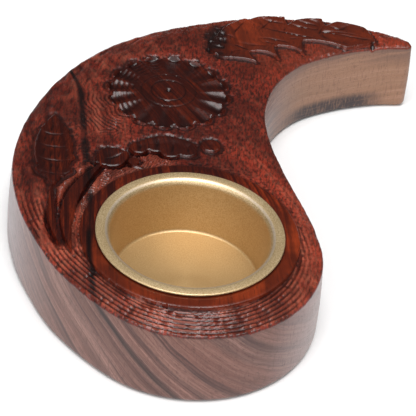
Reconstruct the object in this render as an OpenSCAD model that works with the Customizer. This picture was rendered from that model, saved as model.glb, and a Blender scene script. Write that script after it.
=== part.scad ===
// Carved wooden incense burner with a lift-out metal cup.
// The origin is on the base, under the axis of the cup. +Y runs towards the tail and +Z up.

/* [Block] */
// Length of the block, from its round end to the back of its tail
block_l = 151; // [126:1:182]
// Thickness of the block at its carved ground
block_h = 22; // [18:0.5:30]
// Wood left outside the turned ring at the round end
border_w = 4.9; // [3:0.1:10]
// Wood left under the pocket
wood_under = 6.1; // [3:0.1:9]

/* [Pocket and ring] */
// Radial gap between the cup's wall and the pocket
pocket_gap = 0.5; // [0.2:0.05:1.5]
// Gap between the cup's floor and the pocket's floor
floor_gap = 0.5; // [0.2:0.1:2]
// Width of the turned ring that shows outside the flange
ring_w = 4; // [2:0.1:7]

/* [Cup] */
// Inside diameter of the cup at its mouth
mouth_d = 42; // [34:0.5:52]
// Width of the flange, from the mouth outwards
flange_w = 4; // [3:0.1:7]
// Thickness of the cup's sheet metal
sheet_t = 0.6; // [0.4:0.1:1]
// How much the inside radius shrinks from the mouth to the floor
wall_taper = 1; // [0:0.1:3]
// Inside radius of the bend between the flange and the wall
lip_r = 1.1; // [0.4:0.1:2]
// Inside radius of the bend between the wall and the floor
heel_r = 2; // [0.5:0.1:4]

/* [Carving] */
// Height of the carved motifs over the ground
relief_h = 1.2; // [0.6:0.1:2.5]
// Depth of the cut lines
line_d = 0.7; // [0.3:0.1:1]
// Width of the cut lines
line_w = 0.7; // [0.4:0.1:1.2]
// Depth, below the ground, of the gouges under the tail leaf
gouge_d = 0.6; // [0.2:0.1:1]
// Depth of the dish in each petal
dish_d = 0.8; // [0.3:0.1:1.2]
// Bare ground kept between the motifs and the edge of the block
rim_w = 0.5; // [0.3:0.1:2]
// Radius of the flower
flower_r = 18.2; // [15:0.1:20]
// Number of petals
petals = 16; // [12:1:20]

/* [Hidden] */

wood = "#7d3626";
gold = "#c9a868";
fine = 96;

// Levels
top_z = block_h + relief_h;
flange_z = top_z + sheet_t;
cup_floor_z = wood_under + floor_gap + sheet_t;

// Radii about the cup's axis
mouth_r = mouth_d / 2;
floor_r = mouth_r - wall_taper;
flange_r = mouth_r + flange_w;
pocket_r = mouth_r + sheet_t + pocket_gap;
ring_r = flange_r + ring_w;
// The pocket's edge is broken far enough to clear the bend under the flange
pocket_chamfer = lip_r / 2;

// The round end: a circle that carries the ring, a little nearer to the front than the cup
bulb_r = ring_r + border_w;
bulb_c = [1.5, -4.3];
bulb_steps = 7;
bulb_from = 21;
bulb_to = -132;

// Places on the plan are given for a round end of 33.9 mm and a tail that ends 112.8 mm behind
// the cup's axis, and follow the block's size from there.
plan_x = bulb_r / 33.9;
plan_y = (block_l - bulb_r + bulb_c[1]) / 112.8;
function at(p) = [p[0] * plan_x, p[1] * plan_y];

// ---- Curves ----

// Point at t on the smooth curve from p1 to p2, steered by the points on either side
function smooth(p0, p1, p2, p3, t) =
    0.5 * (2 * p1 + (p2 - p0) * t + (2 * p0 - 5 * p1 + 4 * p2 - p3) * t * t
        + (3 * p1 - p0 - 3 * p2 + p3) * t * t * t);

// Smooth open curve through every point of p, with n steps in each span
function curve(p, n) =
    let (q = concat([2 * p[0] - p[1]], p, [2 * p[len(p) - 1] - p[len(p) - 2]]))
    concat([for (i = [1:len(p) - 1]) for (j = [0:n - 1])
            smooth(q[i - 1], q[i], q[i + 1], q[i + 2], j / n)],
        [p[len(p) - 1]]);

// Bowed line from a to b. Its middle stands k half-lengths to the right of the straight line.
function bow(a, b, k, n = 12) =
    let (side = [b[1] - a[1], a[0] - b[0]])
    [for (i = [0:n - 1]) let (t = i / n) a + (b - a) * t + side * (2 * k * t * (1 - t))];

// Arc about c from angle a0 to a1
function arc(c, r, a0, a1, n) =
    [for (i = [0:n]) let (a = a0 + (a1 - a0) * i / n) c + r * [cos(a), sin(a)]];

// Pointed shape from a to b, bowed by k1 on its right and by k2 on its left
module blade(a, b, k1, k2) {
    polygon(concat(bow(a, b, k1), bow(b, a, k2)));
}

// Cut line from a to b, bowed by k, tapering to nothing at both ends
module stroke(a, b, k = 0) {
    half = line_w / norm(b - a);
    blade(a, b, k + half, half - k);
}

// ---- Plan of the block ----

// Inner side of the tail and the neck, from the tail's corner to the round end
inner_side = [[60.9, 103.2], [50.7, 100.8], [38.4, 95.3], [26.9, 86.8], [19.6, 74.6],
    [17, 60.5], [18.9, 46.8], [23.7, 32.2], [29.2, 18.6]];

// Left flank, back and tail, from the round end to the rounded tip
outer_side = [[-32, -19.4], [-39.2, -9], [-46.3, 5], [-50.6, 21.5], [-50.6, 38.5], [-47.1, 55],
    [-40.8, 70.4], [-31.2, 84.2], [-19, 94.9], [-5, 102.7], [9.5, 108.9], [25, 111.9],
    [41, 112.1], [57.2, 107.9], [59.9, 106], [61, 104.2]];

bulb_side = arc(bulb_c, bulb_r, bulb_from, bulb_to, bulb_steps);

module outline() {
    polygon(curve(concat([for (p = inner_side) at(p)], bulb_side, [for (p = outer_side) at(p)]), 8));
}

// ---- Carved motifs ----

hub_r = flower_r * 0.275;
disc_r = flower_r * 0.44;
petal_w = 2 * PI * flower_r * 0.77 / petals * 0.96;
flower_c = at([-11.6, 63.2]);

module petal() {
    polygon(concat(arc([flower_r - petal_w / 2, 0], petal_w / 2, 90, -90, 10),
        [[disc_r - 1, -petal_w * 0.25], [disc_r - 1, petal_w * 0.25]]));
}

module flower() {
    translate(flower_c) {
        circle(disc_r, $fn = fine);
        for (i = [0:petals - 1]) rotate(i * 360 / petals) petal();
    }
}

// Tail leaf: its toothed outline, anticlockwise from its root. Each row is a corner and how far
// the side that leaves it bows outwards.
leaf_edge = [[[-1.5, 88.5], 0.2], [[3.5, 84], -0.12], [[13.4, 83.8], -0.1],
    [[10.4, 88.6], -0.42], [[20, 86.8], -0.1], [[18, 93.4], -0.35], [[27.2, 91.4], -0.1],
    [[26.4, 98.2], -0.18], [[40, 97.1], 0.12], [[49.2, 102.3], 0.12], [[45.6, 109.9], 0.08],
    [[36.8, 111.3], 0.1], [[33.6, 108.2], -0.1], [[32.3, 112.2], 0.12], [[24.3, 109.8], 0.1],
    [[21.7, 106.2], -0.1], [[20.6, 111.4], 0.05], [[12.4, 109], 0.05], [[9.6, 106.6], -0.1],
    [[8.2, 107], 0.25]];
// Corners of the outline between which a thumbnail gouge is cut, under each lower tooth
thumbnails = [1, 3, 5, 7];
// Slits between the upper teeth, and the veins that run down into the lower ones
leaf_slits = [[[5.2, 97.4], [9.8, 107.8]], [[12.6, 100.4], [18.4, 110.2]],
    [[20.9, 102.6], [21.5, 107.4]], [[31.4, 102.8], [33.4, 109]]];
leaf_veins = [[[5.6, 92.4], [11, 89.2]], [[14.6, 96], [19.2, 94]], [[22.6, 99], [28, 98.8]],
    [[31.6, 104.6], [45.2, 104.9]]];

module tail_leaf() {
    polygon([for (i = [0:len(leaf_edge) - 1])
        let (next = leaf_edge[(i + 1) % len(leaf_edge)])
        each bow(at(leaf_edge[i][0]), at(next[0]), leaf_edge[i][1], 6)]);
}

module leaf_gouges() {
    for (i = thumbnails)
        blade(at(leaf_edge[i][0]), at(leaf_edge[i + 1][0]), 0.12, -leaf_edge[i][1]);
}

// Bud: tiers of sepals, one above the other. Each is its middle and its width.
bud_tiers = [[[-39, 20], 10.4], [[-39.6, 26], 11.4], [[-40.4, 32], 10.4], [[-41.4, 37.6], 8.6]];

module bud() {
    blade(at([-38.2, 13.6]), at([-42.6, 45.6]), 0.33, 0.33);
    for (t = bud_tiers) {
        c = at(t[0]);
        blade(c - [t[1] / 2, -0.6], c + [t[1] / 2, 0.6], 0.8, 0.8);
    }
}

// Stem of the bud and the crescent leaf, which follow the ring on its left
module stems() {
    blade(at([-38.6, 15.5]), at([-32.6, -11]), 0.2, -0.04);
    blade(at([-25, 27.5]), at([-29.2, -13.5]), 0.37, -0.18);
    blade(at([-28.6, 25.6]), at([-19.6, 31.6]), 0.75, 0.85);
}

// Scalloped leaf between the flower and the ring
scallops = [[[-17.2, 34.4], 2.6], [[-12.7, 36.2], 2.8], [[-8.3, 34.8], 3.2], [[-3.9, 35.6], 3]];

module scalloped_leaf() {
    blade(at([-20.2, 33.6]), at([-0.6, 38.2]), 0.15, 0.5);
    for (s = scallops) translate(at(s[0])) circle(s[1], $fn = fine);
}

module small_motifs() {
    translate(at([2.5, 39])) circle(2.8, $fn = fine);
    translate(at([-18, 28.1])) circle(1.6, $fn = fine);
    blade(at([-19, 28.4]), at([-14.8, 25.4]), 0.7, -0.1);
}

// Lines cut into the motifs
module lines() {
    for (l = leaf_slits) stroke(at(l[0]), at(l[1]), -0.08);
    for (l = leaf_veins) stroke(at(l[0]), at(l[1]), -0.12);
    for (t = bud_tiers) {
        c = at(t[0]);
        stroke(c - [t[1] * 0.45, 1], c + [t[1] * 0.45, -1], 0.14);
        for (x = [-0.3, -0.1, 0.1, 0.3])
            stroke(c + [x * t[1], -0.6], c + [x * t[1] * 0.9, 4.6], 0);
    }
    stroke(at([-26.8, 27]), at([-20.8, 31.4]), 0.1);
    for (s = scallops) stroke(at(s[0] + [0, -1.6]), at(s[0] + [0.4, 3.4]), 0.1);
}

// Dished petals, two turned lines round the hub and a pit in its middle
module flower_cuts() {
    dish_w = petal_w * 1.2;
    dish_r = (dish_w * dish_w / 4 + dish_d * dish_d) / (2 * dish_d);
    translate([flower_c[0], flower_c[1], top_z]) {
        for (i = [0:petals - 1]) rotate(i * 360 / petals)
            translate([flower_r - petal_w * 0.7, 0, dish_r - dish_d]) sphere(dish_r, $fn = fine);
        for (r = [hub_r, disc_r]) rotate_extrude($fn = fine)
            translate([r, 0]) polygon([[-line_w / 2, 1], [-line_w / 2, 0], [0, -line_d],
                [line_w / 2, 0], [line_w / 2, 1]]);
        translate([0, 0, -line_d]) cylinder(h = line_d + 1, r = line_w * 0.7, $fn = fine);
    }
}

// ---- Parts ----

module block() {
    color(wood) difference() {
        union() {
            linear_extrude(block_h) outline();
            translate([0, 0, block_h - 1]) linear_extrude(relief_h + 1) intersection() {
                offset(delta = -rim_w) outline();
                union() {
                    flower();
                    tail_leaf();
                    bud();
                    stems();
                    scalloped_leaf();
                    small_motifs();
                }
            }
            cylinder(h = top_z, r = ring_r, $fn = fine);
        }
        translate([0, 0, wood_under]) cylinder(h = top_z, r = pocket_r, $fn = fine);
        translate([0, 0, top_z - pocket_chamfer])
            cylinder(h = pocket_chamfer * 2, r1 = pocket_r, r2 = pocket_r + pocket_chamfer * 2,
                $fn = fine);
        flower_cuts();
        translate([0, 0, top_z - line_d]) linear_extrude(line_d + 1) lines();
        translate([0, 0, block_h - gouge_d]) linear_extrude(relief_h + 2) leaf_gouges();
    }
}

// Half section of the cup's sheet: the inside face from the flange's edge to the floor, and
// the outside face back again
module cup_section() {
    lip_c = [mouth_r + lip_r, flange_z - lip_r];
    heel_c = [floor_r - heel_r, cup_floor_z + heel_r];
    polygon(concat(
        [[flange_r, flange_z - sheet_t], [flange_r, flange_z - sheet_t * 0.4],
            [flange_r - sheet_t * 0.4, flange_z]],
        arc(lip_c, lip_r, 90, 180, 8),
        arc(heel_c, heel_r, 0, -90, 10),
        [[0, cup_floor_z], [0, cup_floor_z - sheet_t]],
        arc(heel_c, heel_r + sheet_t, -90, 0, 10),
        arc(lip_c, max(lip_r - sheet_t, 0.2), 180, 90, 8)));
}

module cup() {
    color(gold) rotate_extrude($fn = fine) cup_section();
}

block();
cup();
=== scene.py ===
"""Looks of the carved incense burner: a wooden block carved in low relief, and its metal cup."""

import itertools
import math
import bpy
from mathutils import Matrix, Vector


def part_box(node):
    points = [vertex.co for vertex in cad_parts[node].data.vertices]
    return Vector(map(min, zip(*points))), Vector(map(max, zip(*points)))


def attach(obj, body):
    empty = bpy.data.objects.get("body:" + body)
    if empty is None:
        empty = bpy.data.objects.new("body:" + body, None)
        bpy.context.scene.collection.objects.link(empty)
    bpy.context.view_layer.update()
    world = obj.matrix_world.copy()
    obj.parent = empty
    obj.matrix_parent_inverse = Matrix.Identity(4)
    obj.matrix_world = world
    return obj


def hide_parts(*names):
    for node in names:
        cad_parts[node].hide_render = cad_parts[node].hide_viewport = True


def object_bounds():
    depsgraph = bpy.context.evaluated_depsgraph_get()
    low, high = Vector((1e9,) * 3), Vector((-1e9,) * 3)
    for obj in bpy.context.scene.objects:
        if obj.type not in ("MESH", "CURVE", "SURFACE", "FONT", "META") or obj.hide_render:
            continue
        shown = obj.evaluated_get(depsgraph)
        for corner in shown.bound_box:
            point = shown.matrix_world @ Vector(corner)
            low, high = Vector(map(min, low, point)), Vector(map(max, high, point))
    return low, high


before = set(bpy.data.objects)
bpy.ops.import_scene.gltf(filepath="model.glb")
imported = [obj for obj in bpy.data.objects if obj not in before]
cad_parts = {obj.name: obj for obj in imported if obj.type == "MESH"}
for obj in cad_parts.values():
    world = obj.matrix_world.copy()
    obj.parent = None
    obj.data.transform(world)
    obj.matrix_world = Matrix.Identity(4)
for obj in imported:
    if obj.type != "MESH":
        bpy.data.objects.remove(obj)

from types import SimpleNamespace

import bpy
import numpy as np
from mathutils import Matrix, Vector, kdtree
from mathutils.bvhtree import BVHTree
from mathutils.geometry import delaunay_2d_cdt

MM = 0.001
SAME = 1e-6              # places closer than this are the same
LEVEL_ENOUGH = 0.9999    # share of its area that a level triangle shows from above
SEARCH_STEP = 0.05 * MM  # between places tried in a search for an edge
cad_lo, cad_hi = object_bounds()

# ---------------------------------------------------------------- sizes read from the frame

block_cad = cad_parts["block"]
cup_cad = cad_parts["cup"]
block_lo, block_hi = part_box("block")
cup_lo, cup_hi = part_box("cup")


def corners(obj):
    """The corners of a CAD node's triangles, as an array of n x 3 x 3."""
    mesh = obj.data
    mesh.calc_loop_triangles()
    points = np.array([v.co for v in mesh.vertices])
    return points[np.array([t.vertices for t in mesh.loop_triangles])]


def level_triangles(tri):
    """The triangles that are level and face up, and the area of each."""
    cross = np.cross(tri[:, 1] - tri[:, 0], tri[:, 2] - tri[:, 0])
    area = np.linalg.norm(cross, axis=1) / 2
    flat = cross[:, 2] / 2 > LEVEL_ENOUGH * area
    return tri[flat], area[flat]


def levels_facing_up(tri):
    """Height of each flat, level stretch that faces up, largest area first."""
    flat, area = level_triangles(tri)
    height = np.round(flat[:, 0, 2], 5)
    totals = {z: area[height == z].sum() for z in np.unique(height)}
    return sorted(totals, key=totals.get, reverse=True)


block_tri = corners(block_cad)
GROUND = levels_facing_up(block_tri)[0]
RELIEF_TOP = block_hi.z
RELIEF = RELIEF_TOP - GROUND
POCKET_FLOOR = min(levels_facing_up(block_tri)[:4])
pocket_tri = block_tri[np.abs(block_tri[:, :, 2] - POCKET_FLOOR).max(axis=1) < SAME]
POCKET_R = np.hypot(pocket_tri[:, :, 0], pocket_tri[:, :, 1]).max()
FLANGE_R = (cup_hi.x - cup_lo.x) / 2
block_tree = BVHTree.FromObject(block_cad, bpy.context.evaluated_depsgraph_get())


def cad_height(x, y):
    """Height of the CAD block's top at x, y, or None beside the block."""
    hit = block_tree.ray_cast(Vector((x, y, RELIEF_TOP + 0.01)), Vector((0, 0, -1)))[0]
    return hit.z if hit else None


def edge_radius(centre, direction, start, height):
    """Distance from centre, start or more, at which the CAD block's top first falls below height."""
    for n in itertools.count(round(start / SEARCH_STEP)):
        reach = n * SEARCH_STEP
        if cad_height(centre[0] + direction[0] * reach, centre[1] + direction[1] * reach) < height:
            return reach


RING_R = edge_radius((0, 0), (0, -1), FLANGE_R, GROUND + RELIEF / 2)


def flower_place(tri):
    """Centre of the flower: the pit in its hub is the smallest flat spot below the relief's top."""
    flat, _ = level_triangles(tri)
    z = flat[:, 0, 2]
    spots = []
    for corner in flat[(z > GROUND + 0.1 * MM) & (z < RELIEF_TOP - 0.1 * MM)]:
        spot = {tuple(np.round(p[:2], 7)) for p in corner}
        touching = [other for other in spots if other & spot]
        spots = [other for other in spots if not other & spot] + [spot.union(*touching)]
    pit = min((np.array(sorted(spot)) for spot in spots), key=lambda points: np.ptp(points, axis=0).max())
    return (pit.min(axis=0) + pit.max(axis=0)) / 2


PETALS = 16              # as on the CAD block
ON_PETALS = 10 * MM      # a radius that is well within the flower's petals
FLOWER = flower_place(block_tri)
FLOWER_R = edge_radius(FLOWER, (1, 0), ON_PETALS, GROUND + 0.1 * RELIEF)


def base_outline(tri):
    """Corner points of the block's outline, anticlockwise, from the edges of its base."""
    low = tri[tri[:, :, 2].max(axis=1) < SAME]
    key = [[tuple(np.round(p[:2], 7)) for p in t] for t in low]
    edges = {(t[i], t[(i + 1) % 3]) for t in key for i in range(3)}
    following = {a: b for a, b in edges if (b, a) not in edges}
    start = next(iter(sorted(following)))
    loop = [start]
    while following[loop[-1]] != start:
        loop.append(following[loop[-1]])
    loop = np.array(loop)
    x, y = loop.T
    area = (x * np.roll(y, -1) - y * np.roll(x, -1)).sum()
    return loop if area > 0 else loop[::-1]


# ---------------------------------------------------------------- outline and fields

# A field is an array with one value for each sample of a grid over the block. Fields that the
# others are worked out from have names in capitals.

FACET = 0.38 * MM        # spacing of the carved surface's vertices
CELL = 0.2 * MM          # spacing of the height field's samples
WALL_STEP = 0.24 * MM    # spacing of the vertices along a motif's wall
WALL_LEAN = 0.22 * MM    # how far a motif's wall leans over, from foot to top
SMOOTHING = 1.1 * MM     # how far the outline's corners are sanded round
ARRIS = 0.45 * MM        # radius of the edge between the carved top and the sides
MARGIN = 3 * MM          # border of the height field round the block
REPEAT = 257             # units in each direction before a random field repeats


def resample(loop, spacing):
    """A closed loop's points, moved to be evenly spaced."""
    closed = np.vstack([loop, loop[:1]])
    length = np.concatenate([[0], np.cumsum(np.linalg.norm(np.diff(closed, axis=0), axis=1))])
    at = np.arange(round(length[-1] / spacing)) * length[-1] / round(length[-1] / spacing)
    return np.stack([np.interp(at, length, closed[:, i]) for i in (0, 1)], axis=1)


def sanded(loop, spacing, reach):
    """A closed loop of evenly spaced points, smoothed along its length."""
    n = math.ceil(3 * reach / spacing)
    weight = np.exp(-0.5 * (np.arange(-n, n + 1) * spacing / reach) ** 2)
    weight /= weight.sum()
    return sum(w * np.roll(loop, k, axis=0) for k, w in zip(range(-n, n + 1), weight))


def normals(loop):
    """Outward unit normals of a smooth anticlockwise loop."""
    along = np.roll(loop, -1, axis=0) - np.roll(loop, 1, axis=0)
    out = np.stack([along[:, 1], -along[:, 0]], axis=1)
    return out / np.linalg.norm(out, axis=1)[:, None]


outline = resample(sanded(resample(base_outline(block_tri), FACET), FACET, SMOOTHING), FACET)
outward = normals(outline)

xs = np.arange(block_lo.x - MARGIN, block_hi.x + MARGIN, CELL)
ys = np.arange(block_lo.y - MARGIN, block_hi.y + MARGIN, CELL)
X, Y = np.meshgrid(xs, ys)
R = np.hypot(X, Y)
ANGLE = np.degrees(np.arctan2(Y, X)) % 360


def plan_tree(points):
    """A search tree of points in plan."""
    tree = kdtree.KDTree(len(points))
    for i, (x, y) in enumerate(points):
        tree.insert((x, y, 0), i)
    tree.balance()
    return tree


def nearest(points, where):
    """For each field sample in where: distance to the nearest of points, and which it is."""
    tree = plan_tree(points)
    distance = np.full(X.shape, 1.0)    # elsewhere, further than any place on the block
    index = np.zeros(X.shape, int)
    for j, i in zip(*np.nonzero(where)):
        found = tree.find((X[j, i], Y[j, i], 0))
        index[j, i], distance[j, i] = found[1], found[2]
    return distance, index


def step(a, b, v):
    """Smooth step from 0 at a to 1 at b, where a may be the higher one."""
    t = np.clip((v - a) / (b - a), 0, 1)
    return t * t * (3 - 2 * t)


def blur(field, reach):
    """Gaussian blur of a field."""
    n = math.ceil(2.5 * reach / CELL)
    weight = np.exp(-0.5 * (np.arange(-n, n + 1) * CELL / reach) ** 2)
    weight /= weight.sum()
    for axis in (0, 1):
        padded = np.pad(field, [(n, n) if axis == i else (0, 0) for i in (0, 1)], mode="edge")
        size = field.shape[axis]
        field = sum(w * padded.take(range(k, k + size), axis=axis) for k, w in enumerate(weight))
    return field


def noise(x, y, seed):
    """Smooth random field between 0 and 1, with one value for each unit of x and y."""
    values = np.random.default_rng(seed).random((REPEAT, REPEAT))
    i, j = np.floor(x).astype(int), np.floor(y).astype(int)
    u, v = x - i, y - j
    u, v = u * u * (3 - 2 * u), v * v * (3 - 2 * v)
    i0, j0, i1, j1 = (k % REPEAT for k in (i, j, i + 1, j + 1))
    low = values[j0, i0] * (1 - u) + values[j0, i1] * u
    high = values[j1, i0] * (1 - u) + values[j1, i1] * u
    return low * (1 - v) + high * v


def punches(x, y, seed):
    """Distance to the nearest of many scattered points, one in each unit square of x and y."""
    jitter = np.random.default_rng(seed).random((2, REPEAT, REPEAT)) * 0.8 + 0.1
    i, j = np.floor(x).astype(int), np.floor(y).astype(int)
    distances = []
    for di, dj in itertools.product((-1, 0, 1), repeat=2):
        a, b = (i + di) % REPEAT, (j + dj) % REPEAT
        distances.append(np.hypot(i + di + jitter[0][b, a] - x, j + dj + jitter[1][b, a] - y))
    return np.min(distances, axis=0)


# ---------------------------------------------------------------- carving

ROW_PITCH = 1.25 * MM    # between the gouge rows of the border
ROW_DEPTH = 0.48 * MM
BEAD_PITCH = 1.35 * MM   # between the beads of the strips beside the ring
BEAD_DEPTH = 0.65 * MM
BEAD_RISE = 0.5 * MM     # how much higher the beads' ground is than the rest
RECESS = 0.9 * MM        # how much deeper the ground is between the beads and the leaf beside them
PUNCH_PITCH = 1.1 * MM   # between the punch marks of the ground
PUNCH_DEPTH = 0.24 * MM
STREAK_DEPTH = 0.3 * MM
LINE_SHARE = 0.35        # depth of the incised lines against the CAD's
EDGE_FALL = 0.27 * MM    # how far a motif's edge is rounded down
EDGE_WIDTH = 0.45 * MM   # how wide that rounding is
HOLLOW = 0.35 * MM       # how far a motif's middle is hollowed below its edge
CHISEL = 0.4 * MM        # depth of the chisel's creases along the tail leaf
CHISEL_LEAN = 0.12       # sideways lean of those creases
GROUND_RISE = 0.8 * MM   # how much higher the open ground is than the ground beside a motif
GROOVE = 0.35 * MM       # depth of the grooves round the ring
RING_EDGE = 0.25 * MM    # how far the ring's outer edge is rounded down
RING_LINE = 0.25 * MM    # depth of the line under the flange's edge
NICK = 0.35 * MM         # depth of the nicks along the block's edge, at most twice this
SCOOP = 1.45 * MM        # depth of a petal's scoop
RIM = 0.35 * MM          # width of the rim at a petal's end
HUB_R = 5.0 * MM         # radius of the flower's inner turned line
DISC_R = 8.0 * MM        # radius of its outer turned line, where the petals start
TURNED_DEPTH = 0.3 * MM  # depth of the flower's turned lines
TURNED_WIDTH = 0.6 * MM
PIT_DEPTH = 0.7 * MM     # depth of the pit in the flower's middle
PARTING = 0.15 * MM      # depth of the lines between the petals
ARC_DEPTH = 0.16 * MM    # depth of the fine arcs across the petals on one side
ARC_PITCH = 1.6 * MM

# Where each kind of tool mark starts and where it is full: in plan, or in degrees round the cup
ROWS_SOUTH, ROWS_WEST, ROWS_IN = (15 * MM, 3 * MM), (40 * MM, 24 * MM), (0.3 * MM, 1.0 * MM)
STREAKS_WEST, STREAKS_BORDER = (-8 * MM, -24 * MM), (12 * MM, 8 * MM)
BEADS_FIRST, BEADS_LAST, BEADS_NEAR = (98, 106), (204, 190), (RING_R + 11 * MM, RING_R + 9 * MM)
SHELLS_WEST, SHELLS_EAST = (-21 * MM, -25 * MM), (-37 * MM, -34 * MM)
SHELLS_NORTH, SHELLS_SOUTH = (36 * MM, 42 * MM), (62 * MM, 56 * MM)
ARCS_FIRST, ARCS_LAST = (95, 115), (235, 215)    # degrees round the flower

# Place and half size of each knot: at the leaf's root, and a small one near its tip
KNOTS = [((0.2 * MM, 94.0 * MM), (3.8 * MM, 9.5 * MM)),
         ((48.3 * MM, 100.2 * MM), (0.8 * MM, 2.6 * MM))]

# Distance in from the block's edge, and along it
near_edge, edge_index = nearest(outline, np.full(X.shape, True))
side = ((X - outline[edge_index, 0]) * outward[edge_index, 0]
        + (Y - outline[edge_index, 1]) * outward[edge_index, 1])
INWARD = np.where(side < 0, near_edge, -near_edge)
ALONG = edge_index * FACET
open_wood = INWARD > 0

# Height of the CAD block, with its pocket filled
cad = np.full(X.shape, GROUND)
for j, i in zip(*np.nonzero(open_wood)):
    cad[j, i] = cad_height(X[j, i], Y[j, i]) or GROUND
cad[R < POCKET_R + 0.3 * MM] = RELIEF_TOP
cad = np.maximum(cad, GROUND - RELIEF)

# Where the motifs and the ring are, and how far away their walls are
FROM_FLOWER = np.hypot(X - FLOWER[0], Y - FLOWER[1])
raised = (cad > GROUND + 0.12 * RELIEF) | (FROM_FLOWER < FLOWER_R - 1.6 * MM)
border = (raised != np.roll(raised, 1, axis=0)) | (raised != np.roll(raised, 1, axis=1))
border &= open_wood
FROM_WALL, _ = nearest(np.stack([X[border], Y[border]], axis=1), open_wood)
IN_RING = R < RING_R + SEARCH_STEP
motif = blur(raised.astype(float), 0.14 * MM)

# Distance round the cup, and how far each place belongs to the front, where the rows are
ROUND_CUP = np.radians(ANGLE) * R
FRONT = step(*ROWS_SOUTH, Y) * step(*ROWS_WEST, X)


def thin_line(distance, width):
    """Height between 0 and 1 of a rounded line, from the distance to its middle."""
    return np.exp(-(distance / (width / 2)) ** 2)


def carved_flower():
    """Height of the flower: a hub and a disc between turned lines, and scooped petals."""
    turn = np.degrees(np.arctan2(Y - FLOWER[1], X - FLOWER[0])) % 360
    across = (turn * PETALS / 360 + 0.5) % 1 * 2 - 1    # from -1 to 1 across a petal
    out = np.clip((FROM_FLOWER - DISC_R) / (FLOWER_R - RIM - DISC_R), 0, 1)
    scoop = out ** 0.8 * (1 - step(0.88, 1.0, out)) * np.clip(1 - (across / 0.9) ** 2, 0, 1)
    turned = thin_line(FROM_FLOWER - HUB_R, TURNED_WIDTH) + thin_line(FROM_FLOWER - DISC_R, TURNED_WIDTH)
    pit = 1 - step(0.2 * MM, 1.1 * MM, FROM_FLOWER)
    arcs = thin_line(FROM_FLOWER % ARC_PITCH - ARC_PITCH / 2, 0.5 * MM)
    arcs *= step(DISC_R + 1 * MM, DISC_R + 2 * MM, FROM_FLOWER)
    arcs *= step(*ARCS_FIRST, turn) * step(*ARCS_LAST, turn)
    parting = thin_line((1 - np.abs(across)) * FROM_FLOWER * math.pi / PETALS, 0.7 * MM)
    parting *= step(DISC_R, DISC_R + 1.5 * MM, FROM_FLOWER)
    cut = SCOOP * scoop + TURNED_DEPTH * turned + PIT_DEPTH * pit + ARC_DEPTH * arcs + PARTING * parting
    return RELIEF_TOP - cut


def motif_tops():
    """Height of the motifs' and the ring's tops. The flower is cut afresh, over the CAD's."""
    tops = blur(np.where(raised, RELIEF_TOP - (RELIEF_TOP - cad) * LINE_SHARE, RELIEF_TOP), 0.15 * MM)
    tops -= HOLLOW * step(0.4 * MM, 3.5 * MM, FROM_WALL) * ~IN_RING
    crease = noise(X / (9 * MM), (Y + CHISEL_LEAN * X) / (2.4 * MM), 19)
    on_leaf = step(0, 4 * MM, Y - FLOWER[1] - FLOWER_R) * step(0.3 * MM, 1.2 * MM, FROM_WALL)
    tops -= CHISEL * (1 - np.abs(2 * crease - 1)) ** 3 * on_leaf
    tops = np.where(FROM_FLOWER < FLOWER_R + 0.6 * MM, carved_flower(), tops)
    tops -= EDGE_FALL * step(EDGE_WIDTH, 0, FROM_WALL) * ~IN_RING

    # The ring's outer edge is rounded, and a shallow line is turned under the flange's edge
    tops -= RING_EDGE * np.clip((R - RING_R + 0.5 * MM) / (0.5 * MM), 0, 1) * IN_RING
    return tops - RING_LINE * thin_line(R - FLANGE_R, 1.2 * MM)


def untooled_ground():
    """Height of the ground: lowest beside the motifs, higher in the open, falling to the edge."""
    rise = (0.35 + 0.65 * step(0.3 * MM, 2.0 * MM, FROM_WALL)) * step(-1 * MM, 6 * MM, INWARD)
    behind_ring = step(RING_R + 4 * MM, RING_R + 2 * MM, R) * step(0, 10 * MM, Y)
    rise += (1 - rise) * behind_ring

    # Two grooves follow the ring's foot, and fade out behind it
    groove = thin_line(R - RING_R - 0.3 * MM, 0.7 * MM)
    groove += 0.8 * thin_line(R - RING_R - 1.6 * MM, 0.6 * MM) * noise(ROUND_CUP / (8 * MM), 0, 18)
    return GROUND + GROUND_RISE * rise - GROOVE * groove * step(20 * MM, -10 * MM, Y)


# Each kind of tool mark is two fields: the marks, from 0 in a trough to 1 on a crest, and how far
# they cover each place, from 0 to 1.

def gouge_rows():
    """Rows of gouge strokes along the front edge."""
    row = INWARD / ROW_PITCH + (noise(ALONG / (16 * MM), INWARD / (5 * MM), 3) - 0.5) * 0.5
    chip = noise(ALONG / (1.2 * MM), np.floor(row) + 0.5, 4)
    rows = np.abs(np.sin(math.pi * row)) ** 2.4 * (0.35 + 0.65 * step(0.22, 0.5, chip))
    return rows, FRONT * step(*ROWS_IN, INWARD)


def border_streaks():
    """Fine streaks aslant the border at the left and the back."""
    streaks = noise((ALONG + INWARD) / (3.5 * MM), (INWARD - 0.35 * ALONG) / (0.9 * MM), 12)
    return streaks, (1 - FRONT) * step(*STREAKS_WEST, X) * step(*STREAKS_BORDER, INWARD)


def bead_strips():
    """Short strokes across the strips between the ring and the stems."""
    sway = 2.5 * noise(R / (2 * MM), ROUND_CUP / (3 * MM), 6)
    beads = np.abs(np.sin(math.pi * ROUND_CUP / BEAD_PITCH + sway)) ** 1.8
    return beads, step(*BEADS_FIRST, ANGLE) * step(*BEADS_LAST, ANGLE) * step(*BEADS_NEAR, R)


def shell_rows():
    """Rows that follow the flower's outer edge on its left."""
    row = FROM_WALL / ROW_PITCH + 0.7 * noise(X / (3 * MM), Y / (3 * MM), 7)
    rows = np.abs(np.sin(math.pi * row)) * (0.5 + 0.5 * noise(X / MM, Y / MM, 13))
    return rows, (step(*SHELLS_WEST, X) * step(*SHELLS_EAST, X)
                  * step(*SHELLS_NORTH, Y) * step(*SHELLS_SOUTH, Y))


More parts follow.
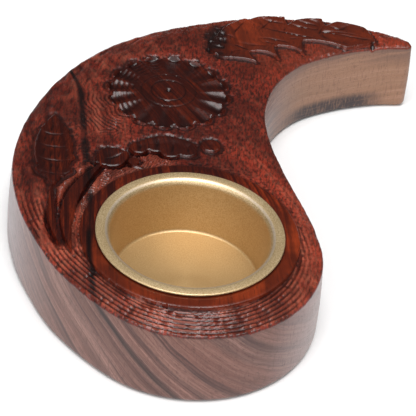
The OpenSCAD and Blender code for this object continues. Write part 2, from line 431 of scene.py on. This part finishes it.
def punch_marks():
    """Marks of the rest of the ground: dots between the motifs, and long strokes in the open."""
    strokes = punches(X / (PUNCH_PITCH * 0.6), Y / (PUNCH_PITCH * 2.2), 8)
    dots = punches(X / PUNCH_PITCH, Y / PUNCH_PITCH, 14)
    between = step(5 * MM, 3 * MM, FROM_WALL)
    return np.clip((strokes * (1 - between) + dots * between) / 0.7, 0, 1)


def broken_wood():
    """How far each place lies in a knot, from 0 to 1."""
    knot = np.zeros(X.shape)
    for (knot_x, knot_y), (knot_w, knot_l) in KNOTS:
        spread = np.hypot((X - knot_x) / knot_w, (Y - knot_y) / knot_l)
        spread += 0.6 * (noise(X / (2 * MM), Y / (2 * MM), 15) - 0.5)
        knot = np.maximum(knot, 1 - step(0.55, 1.15, spread))
    return knot


def hand_work():
    """What hand work adds: tops that are never quite level, and nicks along the block's edge."""
    uneven = 0.16 * MM * (noise(X / (6 * MM), Y / (6 * MM), 9) - 0.5)
    uneven += 0.08 * MM * (noise(X / (1.6 * MM), Y / (1.6 * MM), 10) - 0.5)
    nick = noise(ALONG / (1.7 * MM), 0, 11) + noise(ALONG / (5 * MM), 0, 17)
    return uneven * ~IN_RING - NICK * nick * step(1.0 * MM, 0, INWARD)


rows, row_area = gouge_rows()
streaks, streak_area = border_streaks()
beads, bead_area = bead_strips()
shell, shell_area = shell_rows()
row_area *= 1 - bead_area
shell_area *= (1 - bead_area) * (1 - row_area)
streak_area *= (1 - bead_area) * (1 - shell_area)
mark_area = (1 - bead_area) * (1 - row_area) * (1 - shell_area) * (1 - streak_area)
recess = step(1.5 * MM, 0.5 * MM, FROM_WALL) * step(RING_R + 2 * MM, RING_R + 3 * MM, R)

# Marks, area, depth of the troughs, and how far the painted shade in the troughs and the painted
# highlight on the crests follow the marks
tooling = ((rows, row_area, ROW_DEPTH, 1.0), (beads, bead_area, BEAD_DEPTH, 1 - recess),
           (shell, shell_area, ROW_DEPTH, 0.7), (streaks, streak_area, STREAK_DEPTH, 0.6),
           (punch_marks(), mark_area, PUNCH_DEPTH, 0.3))
crest = np.clip(sum(marks * area for marks, area, _, _ in tooling), 0, 1)
depth = sum(area * deep for _, area, deep, _ in tooling) * step(0.1 * MM, 0.9 * MM, FROM_WALL)
tone_area = sum(area * share for _, area, _, share in tooling)
bead_ground = BEAD_RISE * step(0.2 * MM, 1.0 * MM, FROM_WALL) - RECESS * recess

knot = broken_wood()
tumbled = knot * (0.2 * MM + 1.0 * MM * np.abs(noise(X / (1.5 * MM), Y / (1.5 * MM), 16) - 0.5))
by_hand = hand_work() - tumbled
tops = motif_tops() + by_hand
ground_z = untooled_ground() + bead_ground * bead_area - depth * (1 - crest) + by_hand

# Fields for the painted shade in hollows and troughs and the painted highlights on edges and crests. The
# cavity is above 0 in hollows and below it on edges, at two scales.
trough = np.clip(1 - 2.2 * crest, 0, 1) * tone_area
ridge = crest * tone_area
surface = ground_z + (tops - ground_z) * motif
cavity = (blur(surface, 0.6 * MM) - surface) / (0.35 * MM)
cavity = np.clip(cavity + (blur(surface, 1.6 * MM) - surface) / (0.9 * MM), -1, 1)
motif_y, motif_x = np.gradient(motif, CELL)


def sample(field, x, y):
    """Field values at points x, y."""
    u, v = (x - xs[0]) / CELL, (y - ys[0]) / CELL
    i, j = np.floor(u).astype(int), np.floor(v).astype(int)
    u, v = u - i, v - j
    low = field[j, i] * (1 - u) + field[j, i + 1] * u
    high = field[j + 1, i] * (1 - u) + field[j + 1, i + 1] * u
    return low * (1 - v) + high * v


def wall_points():
    """Points along the foot and along the top of the motifs' walls, in plan."""
    high = motif > 0.5
    found = []
    for axis in (0, 1):
        crossed = (high != np.roll(high, -1, axis=axis)) & open_wood
        j, i = np.nonzero(crossed)
        a, b = motif[j, i], np.roll(motif, -1, axis=axis)[j, i]
        t = (0.5 - a) / (b - a)
        found.append(np.stack([xs[i] + t * CELL * axis, ys[j] + t * CELL * (1 - axis)], axis=1))
    found = np.vstack(found)
    tree = plan_tree(found)
    free = np.ones(len(found), bool)
    for i, (x, y) in enumerate(found):
        if free[i]:
            free[[j for _, j, _ in tree.find_range((x, y, 0), WALL_STEP)]] = False
            free[i] = True
    found = found[free]
    slope = np.stack([sample(motif_x, *found.T), sample(motif_y, *found.T)], axis=1)
    slope /= np.linalg.norm(slope, axis=1)[:, None]
    return found - slope * WALL_LEAN / 2, found + slope * WALL_LEAN / 2


# ---------------------------------------------------------------- block mesh

FOOT = 1.6 * MM          # radius of the edge round the base
FLARE = 0.9 * MM         # how much wider the base is than the top, each side
BELLY = 0.25 * MM        # how far the sides swell between top and base
BEVEL = 0.7 * MM         # broken edge of the pocket
BEVEL_FALL = 0.6 * MM    # how far below the relief's top the pocket's broken edge is set
ARRIS_TURNS = (35, 65, 90)                                    # degrees round the top edge
WALL_DROPS = (0.02, 0.15, 0.3, 0.45, 0.6, 0.75, 0.9, 1.0)     # shares of the way down the side
FOOT_TURNS = (25, 50, 75, 90)                                 # degrees round the foot
STAINED, ARRIS_STAIN, POCKET_STAIN, BARE = 1.0, 0.9, 0.6, 0.0


def circle(radius, spacing):
    """Evenly spaced points round the cup's axis."""
    n = round(2 * math.pi * radius / spacing)
    turn = np.arange(n) * 2 * math.pi / n
    return radius * np.stack([np.cos(turn), np.sin(turn)], axis=1)


def hexagonal(spacing):
    """Points of a triangular lattice that covers the block."""
    rise = spacing * math.sqrt(3) / 2
    rows_up = np.arange(block_lo.y, block_hi.y, rise)
    along = np.arange(block_lo.x, block_hi.x, spacing)
    return np.array([(x + (k % 2) * spacing / 2, y) for k, y in enumerate(rows_up) for x in along])


def carved_top(rim, mouth):
    """Vertices and triangles of the carving between the rim loop and the mouth loop, which lead."""
    foot, crown = wall_points()
    inner = hexagonal(FACET)
    tree = plan_tree((foot + crown) / 2)
    clear = [tree.find((x, y, 0))[2] > (WALL_LEAN + FACET) / 2 for x, y in inner]
    inner = inner[clear]
    plan = np.vstack([rim, mouth, foot, crown, inner])
    on_top = np.concatenate([sample(motif, *rim.T) > 0.5, np.ones(len(mouth)), np.zeros(len(foot)),
                             np.ones(len(crown)), sample(motif, *inner.T) > 0.5]).astype(bool)
    n, m = len(rim), len(mouth)
    keep = np.concatenate([np.full(n + m, True), (sample(INWARD, *plan[n + m:].T) > ARRIS + 0.5 * FACET)
                           & (np.hypot(*plan[n + m:].T) > POCKET_R + BEVEL + 0.5 * FACET)])
    plan, on_top = plan[keep], on_top[keep]
    edges = [(i, (i + 1) % n) for i in range(n)]
    edges += [(n + i, n + (i + 1) % m) for i in range(m)]
    made, _, faces, *_ = delaunay_2d_cdt([Vector(p) for p in plan], edges, [], 0, 1e-8)
    assert len(made) == len(plan)
    faces = np.array(faces)
    middle = plan[faces].mean(axis=1)
    inside = sample(INWARD, *middle.T) > ARRIS * 0.7
    inside &= np.hypot(*middle.T) > POCKET_R + BEVEL * 0.9
    z = np.where(on_top, sample(tops, *plan.T), sample(ground_z, *plan.T))
    return plan, z, on_top, faces[inside]


class Build:
    """Vertices, faces and the values kept at each vertex, gathered piece by piece."""

    def __init__(self):
        self.points = []
        self.faces = []
        self.stain = []

    def add(self, points, stain):
        """Add vertices that share one value of stain, and give their numbers."""
        first = len(self.points)
        self.points.extend(map(tuple, points))
        self.stain.extend([stain] * len(points))
        return np.arange(first, first + len(points))

    def band(self, a, b):
        """Quads between two loops of the same length, facing out when b is under a."""
        for i in range(len(a)):
            j = (i + 1) % len(a)
            self.faces.append((a[i], b[i], b[j], a[j]))


def with_height(plan, z):
    """Points in plan, as places at height z."""
    return np.column_stack([plan, np.broadcast_to(z, len(plan))])


def rounded(turns):
    """For each angle round a quarter circle: the shares of its radius across and down."""
    return [(math.sin(t), 1 - math.cos(t)) for t in np.radians(turns)]


def new_piece(name, mesh, sharp_angle=180):
    """A smooth-shaded object in the scene, with edges sharp past an angle in degrees."""
    mesh.validate()
    mesh.polygons.foreach_set("use_smooth", [True] * len(mesh.polygons))
    mesh.set_sharp_from_angle(angle=math.radians(sharp_angle))
    mesh.update()
    piece = bpy.data.objects.new(name, mesh)
    bpy.context.scene.collection.objects.link(piece)
    return piece


def make_block():
    rim = outline - outward * ARRIS
    mouth = circle(POCKET_R + BEVEL, FACET)
    plan, top_z, polished, faces = carved_top(rim, mouth)
    build = Build()
    top = build.add(with_height(plan, top_z), STAINED)
    build.faces.extend(map(tuple, faces))

    # Sides, as loops out from the outline: round the arris, down the flared wall, round the foot
    rim_z = top_z[:len(rim)]
    wall_top = rim_z - ARRIS
    sides = [(ARRIS * (across - 1), rim_z - ARRIS * down, ARRIS_STAIN)
             for across, down in rounded(ARRIS_TURNS)]
    sides += [(FLARE * drop + BELLY * math.sin(math.pi * drop), wall_top * (1 - drop) + FOOT * drop, BARE)
              for drop in WALL_DROPS]
    sides += [(FLARE - FOOT * down, FOOT * (1 - across), BARE) for across, down in rounded(FOOT_TURNS)]
    loop = top[:len(rim)]
    for out, z, stain in sides:
        ring = build.add(with_height(outline + outward * out, z), stain)
        build.band(loop, ring)
        loop = ring
    build.faces.append(tuple(loop[::-1]))

    # Pocket: broken edge, wall and floor
    loop = top[len(rim):len(rim) + len(mouth)]
    for z in (RELIEF_TOP - BEVEL_FALL - BEVEL, POCKET_FLOOR):
        ring = build.add(with_height(mouth * POCKET_R / (POCKET_R + BEVEL), z), POCKET_STAIN)
        build.band(ring, loop)
        loop = ring
    build.faces.append(tuple(loop))

    mesh = bpy.data.meshes.new("carved_block")
    mesh.from_pydata(build.points, [], build.faces)
    piece = new_piece("carved_block", mesh, 48)
    points = np.array(build.points)
    carved = np.arange(len(points)) < len(plan)
    polish = np.zeros(len(points))
    polish[carved] = polished
    values = {"stain": np.array(build.stain), "polish": polish}
    for name, field in (("cavity", cavity), ("knot", knot), ("ridge", ridge), ("trough", trough)):
        values[name] = np.where(carved, sample(field, *points[:, :2].T), 0)
    values["ridge"] *= 1 - polish
    values["trough"] *= 1 - polish
    for name, value in values.items():
        mesh.attributes.new(name, "FLOAT", "POINT").data.foreach_set("value", value.astype(np.float32))
    return piece


# ---------------------------------------------------------------- materials

class Graph:
    """Short ways to add nodes to a material."""

    def __init__(self, name):
        self.material = bpy.data.materials.new(name)
        self.material.use_nodes = True
        self.tree = self.material.node_tree
        self.shader = self.tree.nodes["Principled BSDF"]

    def add(self, kind, inputs=(), **settings):
        node = self.tree.nodes.new(kind)
        for key, value in settings.items():
            setattr(node, key, value)
        for key, value in dict(inputs).items():
            self.put(node.inputs[key], value)
        return node

    def put(self, socket, value):
        if isinstance(value, bpy.types.NodeSocket):
            self.tree.links.new(value, socket)
        else:
            socket.default_value = value

    def math(self, operation, a, b=0.0):
        return self.add("ShaderNodeMath", {0: a, 1: b}, operation=operation).outputs[0]

    def product(self, first, *others):
        for other in others:
            first = self.math("MULTIPLY", first, other)
        return first

    def dot(self, vector, direction):
        node = self.add("ShaderNodeVectorMath", {0: vector, 1: direction}, operation="DOT_PRODUCT")
        return node.outputs["Value"]

    def length(self, vector):
        return self.add("ShaderNodeVectorMath", {0: vector}, operation="LENGTH").outputs["Value"]

    def stretch(self, vector, factors):
        node = self.add("ShaderNodeVectorMath", {0: vector, 1: factors}, operation="MULTIPLY")
        return node.outputs["Vector"]

    def split(self, vector):
        return self.add("ShaderNodeSeparateXYZ", {0: vector}).outputs

    def vector(self, x, y, z):
        return self.add("ShaderNodeCombineXYZ", {0: x, 1: y, 2: z}).outputs[0]

    def noise(self, vector, scale, detail, roughness=0.5):
        return self.add("ShaderNodeTexNoise", {"Vector": vector, "Scale": scale, "Detail": detail,
                                               "Roughness": roughness}).outputs["Fac"]

    def span(self, value, low, high, to_low=0.0, to_high=1.0):
        """to_low where value is low, to_high where it is high, and a smooth change between."""
        return self.add("ShaderNodeMapRange", {0: value, 1: low, 2: high, 3: to_low, 4: to_high},
                        interpolation_type="SMOOTHSTEP").outputs[0]

    def mix(self, share, a, b):
        node = self.add("ShaderNodeMix", data_type="RGBA", clamp_factor=True)
        for socket, value in ((node.inputs["Factor"], share), (node.inputs[6], a), (node.inputs[7], b)):
            self.put(socket, value)
        return node.outputs[2]

    def place(self):
        return self.add("ShaderNodeTexCoord").outputs["Object"]

    def attribute(self, name):
        return self.add("ShaderNodeAttribute", attribute_name=name).outputs["Fac"]

    def bump(self, height, distance, strength, normal=None):
        inputs = {"Height": height, "Distance": distance, "Strength": strength}
        if normal is not None:
            inputs["Normal"] = normal
        return self.add("ShaderNodeBump", inputs).outputs["Normal"]

    def finish(self, constants, **linked):
        """Set the shader's constant numbers, and link the sockets that vary over the surface."""
        for name, value in constants.items():
            self.shader.inputs[name].default_value = value
        for name, value in linked.items():
            self.put(self.shader.inputs[name.replace("_", " ")], value)
        return self.material


def tone(red, green, blue):
    """A linear colour from its usual 0 to 255 values."""
    def linear(v):
        v /= 255
        return v / 12.92 if v <= 0.04045 else ((v + 0.055) / 1.055) ** 2.4
    return (linear(red), linear(green), linear(blue), 1.0)


# The growth rings lie round an axis above the block that leans like the grain. Places are in mm.
GRAIN = Vector((-0.175, 1, 0)).normalized()
ACROSS = Vector((GRAIN.y, -GRAIN.x, 0))
PITH = Vector((108, 0, 128))         # where the axis crosses y = 0
TAIL_SHIFT = 52                      # how much nearer the tail lies to the axis
TO_TAIL = (0.6, 0.8, 0.0)            # the way from the cup to the tail
TO_BACK = (-0.5, 0.6, 0.0)           # the way to the back left, where the stain is darkest
VEIN_AT = Vector((-28.5, 14, 22))    # a place that the dark vein goes through


def wood_patterns(g):
    """The places and patterns that the bare and the stained wood share."""
    w = SimpleNamespace()
    w.place = g.add("ShaderNodeVectorMath", {0: g.place(), "Scale": 1 / MM}, operation="SCALE").outputs[0]
    w.east, w.north, w.level = g.split(w.place)
    tailward = g.dot(w.place, TO_TAIL)
    w.tail = g.span(tailward, 62.0, 88.0)

    # Where a place lies in the trunk: across and below the axis, out from it, round it and along it
    along = g.dot(w.place, tuple(GRAIN))
    flat = g.math("SUBTRACT", g.dot(w.place, tuple(ACROSS)), PITH.dot(ACROSS))
    flat = g.math("ADD", flat, g.span(tailward, 24.0, 68.0, 0.0, TAIL_SHIFT))
    rise = g.math("SUBTRACT", w.level, PITH.z)
    radius = g.length(g.vector(flat, rise, 0.0))
    round_it = g.product(g.math("ARCTAN2", flat, g.product(rise, -1.0)), 60.0)
    sway = g.noise(g.stretch(g.vector(flat, along, w.level), (0.03, 0.014, 0.04)), 1.0, 2.0)
    sway = g.math("SUBTRACT", sway, 0.5)
    trunk = g.vector(g.math("ADD", radius, g.product(sway, 5.0)), along, round_it)

    w.bands = g.noise(g.stretch(trunk, (0.13, 0.006, 0.01)), 1.0, 2.0, 0.55)
    w.lines = g.noise(g.stretch(trunk, (1.2, 0.012, 0.05)), 1.0, 6.0, 0.78)
    w.broad = g.noise(g.stretch(trunk, (0.42, 0.02, 0.05)), 1.0, 3.0, 0.6)
    w.fibres = g.noise(g.stretch(trunk, (5.0, 0.12, 1.2)), 1.0, 3.0, 0.6)
    w.pores = g.span(g.noise(g.stretch(trunk, (4.0, 0.2, 3.0)), 1.0, 2.0, 0.55), 0.6, 0.7)
    w.streak = g.span(g.noise(g.stretch(trunk, (0.3, 0.006, 0.02)), 1.0, 5.0, 0.66), 0.5, 0.62)
    w.ticks = g.noise(g.stretch(w.place, (1.7, 1.7, 0.3)), 1.0, 3.0, 0.7)
    w.strokes = g.noise(g.stretch(w.place, (1.7, 0.45, 1.0)), 1.0, 4.0, 0.8)

    # The main dark vein follows one growth ring, and is cracked open along parts of its length
    vein_radius = math.hypot(VEIN_AT.dot(ACROSS) - PITH.dot(ACROSS), VEIN_AT.z - PITH.z)
    off = g.math("SUBTRACT", g.math("ADD", radius, g.product(sway, 3.0)), vein_radius)
    ragged = g.product(g.math("SUBTRACT", w.lines, 0.5), 2.2)
    off = g.math("ADD", g.math("ABSOLUTE", off), ragged)
    w.vein = g.span(off, 0.1, 1.3, 1.0, 0.0)
    opens = g.span(g.noise(g.vector(0.0, g.product(along, 0.05), 0.0), 1.0, 1.0), 0.4, 0.52, 0.2)
    w.crack = g.product(g.span(off, 0.1, 0.9, 1.0, 0.0), opens)

    for name in ("stain", "polish", "cavity", "knot", "ridge", "trough"):
        setattr(w, name, g.attribute(name))
    return w


def bare_wood(g, w):
    """Colour of the unstained sides."""
    wood = g.mix(g.span(w.lines, 0.3, 0.72), tone(112, 74, 66), tone(166, 126, 114))
    wood = g.mix(g.span(w.bands, 0.4, 0.6, 0.0, 0.5), wood, tone(120, 76, 64))
    wood = g.mix(g.span(w.broad, 0.45, 0.65, 0.0, 0.45), wood, tone(78, 52, 48))
    wood = g.mix(g.product(w.streak, g.span(w.east, 5.0, 35.0, 0.8, 0.35)), wood, tone(62, 40, 40))
    wood = g.mix(g.span(w.fibres, 0.45, 0.75, 0.0, 0.5), wood, tone(70, 44, 38))

    # Painted reflection of the pale surroundings: paler at the right front and at the left; and warmer on
    # the tail
    painted_side_sheen = g.product(g.span(w.east, 22.0, 36.0, 0.0, 0.5), g.span(w.north, 60.0, 30.0))
    wood = g.mix(painted_side_sheen, wood, tone(194, 174, 172))
    wood = g.mix(g.span(w.east, -36.0, -52.0, 0.0, 0.5), wood, tone(178, 168, 172))
    wood = g.mix(g.product(w.tail, 0.55), wood, tone(176, 132, 98))

    # A dark patch low on the tail's inner side, a dark band high on the tail, and short ticks
    patch = g.product(g.span(w.level, 4.0, 7.0, 1.0, 0.0), g.span(w.lines, 0.2, 0.5),
                      g.span(w.east, 18.0, 30.0), g.span(w.east, 46.0, 57.0, 1.0, 0.0),
                      w.tail, g.span(w.ticks, 0.3, 0.55, 0.5))
    wood = g.mix(patch, wood, tone(50, 40, 44))
    band = g.product(g.span(w.level, 14.0, 21.0, 0.0, 0.6), g.span(w.broad, 0.35, 0.6), w.tail)
    wood = g.mix(band, wood, tone(96, 72, 70))
    wood = g.mix(g.span(w.ticks, 0.5, 0.72, 0.0, 0.35), wood, tone(78, 50, 44))
    return g.mix(g.product(w.vein, 0.85), wood, tone(40, 26, 26))


def stained_ground(g, w, shade):
    """Colour of the tooled ground: dark between the strokes, with painted shade in the troughs and a
    painted highlight on the crests.
    """
    ground = g.mix(g.span(w.strokes, 0.41, 0.58), tone(24, 5, 3), tone(154, 45, 27))
    light_side = g.span(g.dot(w.place, (1.0, -0.4, 0.0)), -25.0, 45.0, 0.0, 0.22)
    ground = g.mix(light_side, ground, tone(156, 62, 38))
    # Painted shade: the troughs between the tool marks are darkened.
    ground = g.mix(g.product(w.trough, 0.75), ground, tone(34, 6, 4))
    # Painted highlight: the crests of the tool marks are lightened, less so at the left.
    painted_crest_highlight = g.product(w.ridge, g.span(w.broad, 0.35, 0.62, 0.95, 0.35),
                       g.span(w.east, -50.0, -28.0, 0.5, 1.0))
    ground = g.mix(painted_crest_highlight, ground, tone(216, 122, 94))
    return g.mix(g.product(shade, 0.8), ground, tone(44, 11, 8))


def stained_motif(g, w, shade):
    """Colour of the motifs' and the ring's polished tops, where the grain shows."""
    motif_tone = g.mix(g.span(w.lines, 0.4, 0.62), tone(50, 11, 6), tone(134, 46, 18))
    motif_tone = g.mix(g.span(w.fibres, 0.5, 0.8, 0.0, 0.5), motif_tone, tone(36, 7, 4))
    motif_tone = g.mix(g.span(w.strokes, 0.42, 0.6, 0.45, 0.0), motif_tone, tone(30, 6, 4))
    motif_tone = g.mix(g.span(w.broad, 0.48, 0.66, 0.0, 0.7), motif_tone, tone(38, 8, 5))
    from_axis = g.length(g.vector(w.east, w.north, 0.0))
    ring = g.span(from_axis, RING_R / MM + 0.3, RING_R / MM, 0.0, 0.45)
    ring = g.product(ring, g.span(g.dot(w.place, (-0.5, 1.0, 0.0)), 15.0, -15.0))
    motif_tone = g.mix(ring, motif_tone, tone(168, 66, 30))
    return g.mix(shade, motif_tone, tone(34, 7, 4))


def stained_wood(g, w):
    """Colour of the carved top."""
    shade = g.product(g.span(g.dot(w.place, TO_BACK), 8.0, 30.0), 0.5)
    shade = g.product(shade, g.math("SUBTRACT", 1.0, w.tail))
    wood = g.mix(w.polish, stained_ground(g, w, shade), stained_motif(g, w, shade))
    patches = g.noise(w.place, 0.075, 3.0, 0.55)
    wood = g.mix(g.span(patches, 0.36, 0.6, 0.0, 0.6), wood, tone(46, 12, 8))
    wood = g.mix(g.product(w.tail, 0.25), wood, tone(158, 66, 36))
    wood = g.mix(g.product(w.streak, 0.3), wood, tone(36, 9, 6))
    wood = g.mix(g.product(w.vein, 0.4), wood, tone(22, 8, 8))
    wood = g.mix(g.product(w.crack, 0.92), wood, tone(12, 4, 4))

    # Painted shade darkens the hollows and the troughs, a painted highlight lightens the ground's raised
    # edges, and the knots are dark
    # Painted shade in the hollows, from the cavity field.
    deep = g.product(g.span(w.cavity, 0.0, 0.7), g.span(w.trough, 0.0, 0.6, 1.0, 0.5),
                     g.span(w.ridge, 0.2, 0.8, 1.0, 0.3))
    wood = g.mix(g.product(deep, 0.8), wood, tone(24, 5, 4))
    # Painted highlight on the ground's raised edges, where the cavity is below 0.
    high = g.product(g.span(w.cavity, -0.2, -0.9), g.math("SUBTRACT", 1.0, w.polish))
    wood = g.mix(g.product(high, 0.3), wood, tone(160, 64, 42))
    return g.mix(g.product(w.knot, 0.85), wood, tone(20, 8, 8))


def wood_material():
    g = Graph("carved_wood")
    w = wood_patterns(g)
    colour = g.mix(w.stain, bare_wood(g, w), stained_wood(g, w))
    colour = g.mix(g.product(w.pores, 0.45), colour, tone(30, 14, 11))
    rough = g.math("ADD", g.span(w.polish, 0.0, 1.0, 0.45, 0.26), g.product(w.fibres, 0.12))
    fine = g.bump(g.math("SUBTRACT", w.fibres, g.product(w.pores, 0.8)), 0.08 * MM, 0.5)
    scratch = g.product(w.strokes, g.span(w.polish, 0.0, 1.0, 1.0, 0.25), w.stain)
    constants = {"Specular IOR Level": 0.15, "Coat Weight": 0.6, "Coat Roughness": 0.27}
    return g.finish(constants, Base_Color=colour, Roughness=rough,
                    Normal=g.bump(scratch, 0.5 * MM, 0.8, fine))


def gold_material():
    g = Graph("gold_metal")
    place = g.place()
    east, north, level = g.split(place)
    speck = g.noise(place, 3200.0, 2.0, 0.6)
    cloud = g.noise(place, 90.0, 3.0, 0.5)
    colour = g.mix(g.span(speck, 0.36, 0.64), tone(202, 172, 124), tone(238, 214, 171))
    colour = g.mix(g.span(cloud, 0.3, 0.8, 0.0, 0.25), colour, tone(190, 154, 100))
    # Painted shade: the cup is darker and warmer below its rim, where its inside lies in shade.
    inside = g.span(level, cup_hi.z - 2.5 * MM, cup_hi.z - 0.4 * MM, 0.5, 0.0)
    colour = g.mix(inside, colour, tone(188, 148, 88))

    # Painted highlight: a pale line along the crest of the bend into the cup
    from_axis = g.length(g.vector(east, north, 0.0))
    painted_crest_highlight = g.product(g.span(level, cup_hi.z - 0.5 * MM, cup_hi.z - 0.3 * MM),
                       g.span(level, cup_hi.z - 0.04 * MM, cup_hi.z - 0.12 * MM),
                       g.span(from_axis, FLANGE_R - 1.5 * MM, FLANGE_R - 1.7 * MM))
    colour = g.mix(g.product(painted_crest_highlight, 0.45), colour, tone(244, 230, 216))
    round_axis = g.add("ShaderNodeTangent", direction_type="RADIAL", axis="Z").outputs[0]
    constants = {"Metallic": 0.85, "Coat Weight": 0.8, "Coat Roughness": 0.18,
                 "Anisotropic": 0.12, "Anisotropic Rotation": 0.25}
    return g.finish(constants, Base_Color=colour, Roughness=g.span(speck, 0.2, 0.8, 0.48, 0.6),
                    Tangent=round_axis, Normal=g.bump(speck, 0.03 * MM, 0.4))


# ---------------------------------------------------------------- cup mesh

CUP_SEGMENTS = 192
LIP = 1.9 * MM           # bend between the flange and the wall, inside
HEEL = 0.8 * MM          # bend between the wall and the floor, inside
ARC_STEPS = 10
PROBE = 3 * MM           # how far from the flange and the floor the CAD cup's wall is measured
FLOOR_RINGS = 12

cup_tree = BVHTree.FromObject(cup_cad, bpy.context.evaluated_depsgraph_get())
CUP_FLOOR = cup_tree.ray_cast(Vector((0, 0, cup_hi.z)), Vector((0, 0, -1)))[0].z
SHEET = CUP_FLOOR - cup_lo.z


def wall_radius(z):
    """Inside radius of the CAD cup at height z."""
    return cup_tree.ray_cast(Vector((0, 0, z)), Vector((1, 0, 0)))[0].x


def arc(centre, radius, start, end):
    """Points of an arc as radius and height; angles in degrees from outward, anticlockwise."""
    turns = np.radians(np.linspace(start, end, ARC_STEPS))
    return [(centre[0] + radius * math.cos(t), centre[1] + radius * math.sin(t)) for t in turns]


def cup_section():
    """Closed half section of the sheet, from the middle of the floor outwards and back below."""
    top, low = cup_hi.z - PROBE, CUP_FLOOR + PROBE
    lean = (wall_radius(top) - wall_radius(low)) / (top - low)
    foot_r = wall_radius(low) - lean * PROBE
    mouth_r = wall_radius(top) + lean * PROBE
    edge = SHEET / 2
    bend = (mouth_r + LIP, cup_hi.z - LIP)
    heel = (foot_r - HEEL, CUP_FLOOR + HEEL)
    rings = [(r, CUP_FLOOR) for r in np.linspace(0.02, 1, FLOOR_RINGS) * (foot_r - HEEL)]
    inside = rings + arc(heel, HEEL, -85, -3) + arc(bend, LIP, 177, 90)
    rim = arc((FLANGE_R - edge, cup_hi.z - edge), edge, 88, -90)
    below = arc(bend, LIP - SHEET, 90, 177) + arc(heel, HEEL + SHEET, -3, -90)
    return inside + rim + below + [(0.02 * foot_r, CUP_FLOOR - SHEET)]


def make_cup():
    section = cup_section()
    turns = np.arange(CUP_SEGMENTS) * 2 * math.pi / CUP_SEGMENTS
    points = [(r * math.cos(t), r * math.sin(t), z) for r, z in section for t in turns]
    faces = []
    for k in range(len(section) - 1):
        for i in range(CUP_SEGMENTS):
            j = (i + 1) % CUP_SEGMENTS
            a, b = k * CUP_SEGMENTS, (k + 1) * CUP_SEGMENTS
            faces.append((a + i, b + i, b + j, a + j))
    last = (len(section) - 1) * CUP_SEGMENTS
    faces.append(tuple(range(CUP_SEGMENTS)))
    faces.append(tuple(range(last + CUP_SEGMENTS - 1, last - 1, -1)))
    mesh = bpy.data.meshes.new("gold_cup")
    mesh.from_pydata(points, [], faces)
    return new_piece("gold_cup", mesh)


# ---------------------------------------------------------------- stage

CAMERA_ELEVATION = math.radians(38.84)
CAMERA_ROLL = math.radians(6.74)
CAMERA_DISTANCE = 452.9 * MM
CAMERA_LENS = 147.1      # in mm, on a sensor of the size below
SENSOR = 36
AIM = Vector((3.8 * MM, 10.3 * MM, cad_hi.z))
FLOOR_REACH = 4.0        # in metres, out from the middle
FLOOR_GAP = 0.02 * MM    # below the block, so that the two never coincide


def add_camera():
    camera = bpy.data.objects.new("camera", bpy.data.cameras.new("camera"))
    camera.data.lens = CAMERA_LENS
    camera.data.sensor_width = SENSOR
    turn = Matrix.Rotation(math.pi / 2 - CAMERA_ELEVATION, 4, "X") @ Matrix.Rotation(CAMERA_ROLL, 4, "Z")
    back = turn @ Vector((0, 0, 1))
    camera.matrix_world = Matrix.Translation(AIM + back * CAMERA_DISTANCE) @ turn
    camera.data.clip_start, camera.data.clip_end = 0.01, 20
    bpy.context.scene.collection.objects.link(camera)
    bpy.context.scene.camera = camera


def add_floor():
    mesh = bpy.data.meshes.new("floor")
    corner_signs = ((-1, -1), (1, -1), (1, 1), (-1, 1))
    corner_places = [(a * FLOOR_REACH, b * FLOOR_REACH, cad_lo.z - FLOOR_GAP) for a, b in corner_signs]
    mesh.from_pydata(corner_places, [], [(0, 1, 2, 3)])
    floor = bpy.data.objects.new("floor", mesh)
    bpy.context.scene.collection.objects.link(floor)
    plain = {"Base Color": (0.9, 0.9, 0.9, 1), "Roughness": 0.9, "Specular IOR Level": 0.1}
    mesh.materials.append(Graph("floor").finish(plain))


def add_sun(name, direction, angle, strength):
    """A wide, soft light that is even over the whole floor."""
    light = bpy.data.objects.new(name, bpy.data.lights.new(name, "SUN"))
    light.data.angle = math.radians(angle)
    light.data.energy = strength
    light.rotation_mode = "QUATERNION"
    light.rotation_quaternion = Vector(direction).to_track_quat("Z", "Y")
    bpy.context.scene.collection.objects.link(light)


def add_lights():
    add_sun("front", (-0.2, -0.7, 0.8), 80, 2.0)
    add_sun("overhead", (0.05, -0.08, 1), 36, 2.3)
    world = bpy.data.worlds.new("studio")
    world.use_nodes = True
    world.node_tree.nodes["Background"].inputs["Color"].default_value = (1, 1, 1, 1)
    world.node_tree.nodes["Background"].inputs["Strength"].default_value = 0.06
    bpy.context.scene.world = world
    bpy.context.scene.view_settings.view_transform = "Standard"


# ---------------------------------------------------------------- put together

block = make_block()
block.data.materials.append(wood_material())
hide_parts("block")
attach(block, "holder")

cup = make_cup()
cup.data.materials.append(gold_material())
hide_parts("cup")
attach(cup, "cup")

add_camera()
add_floor()
add_lights()
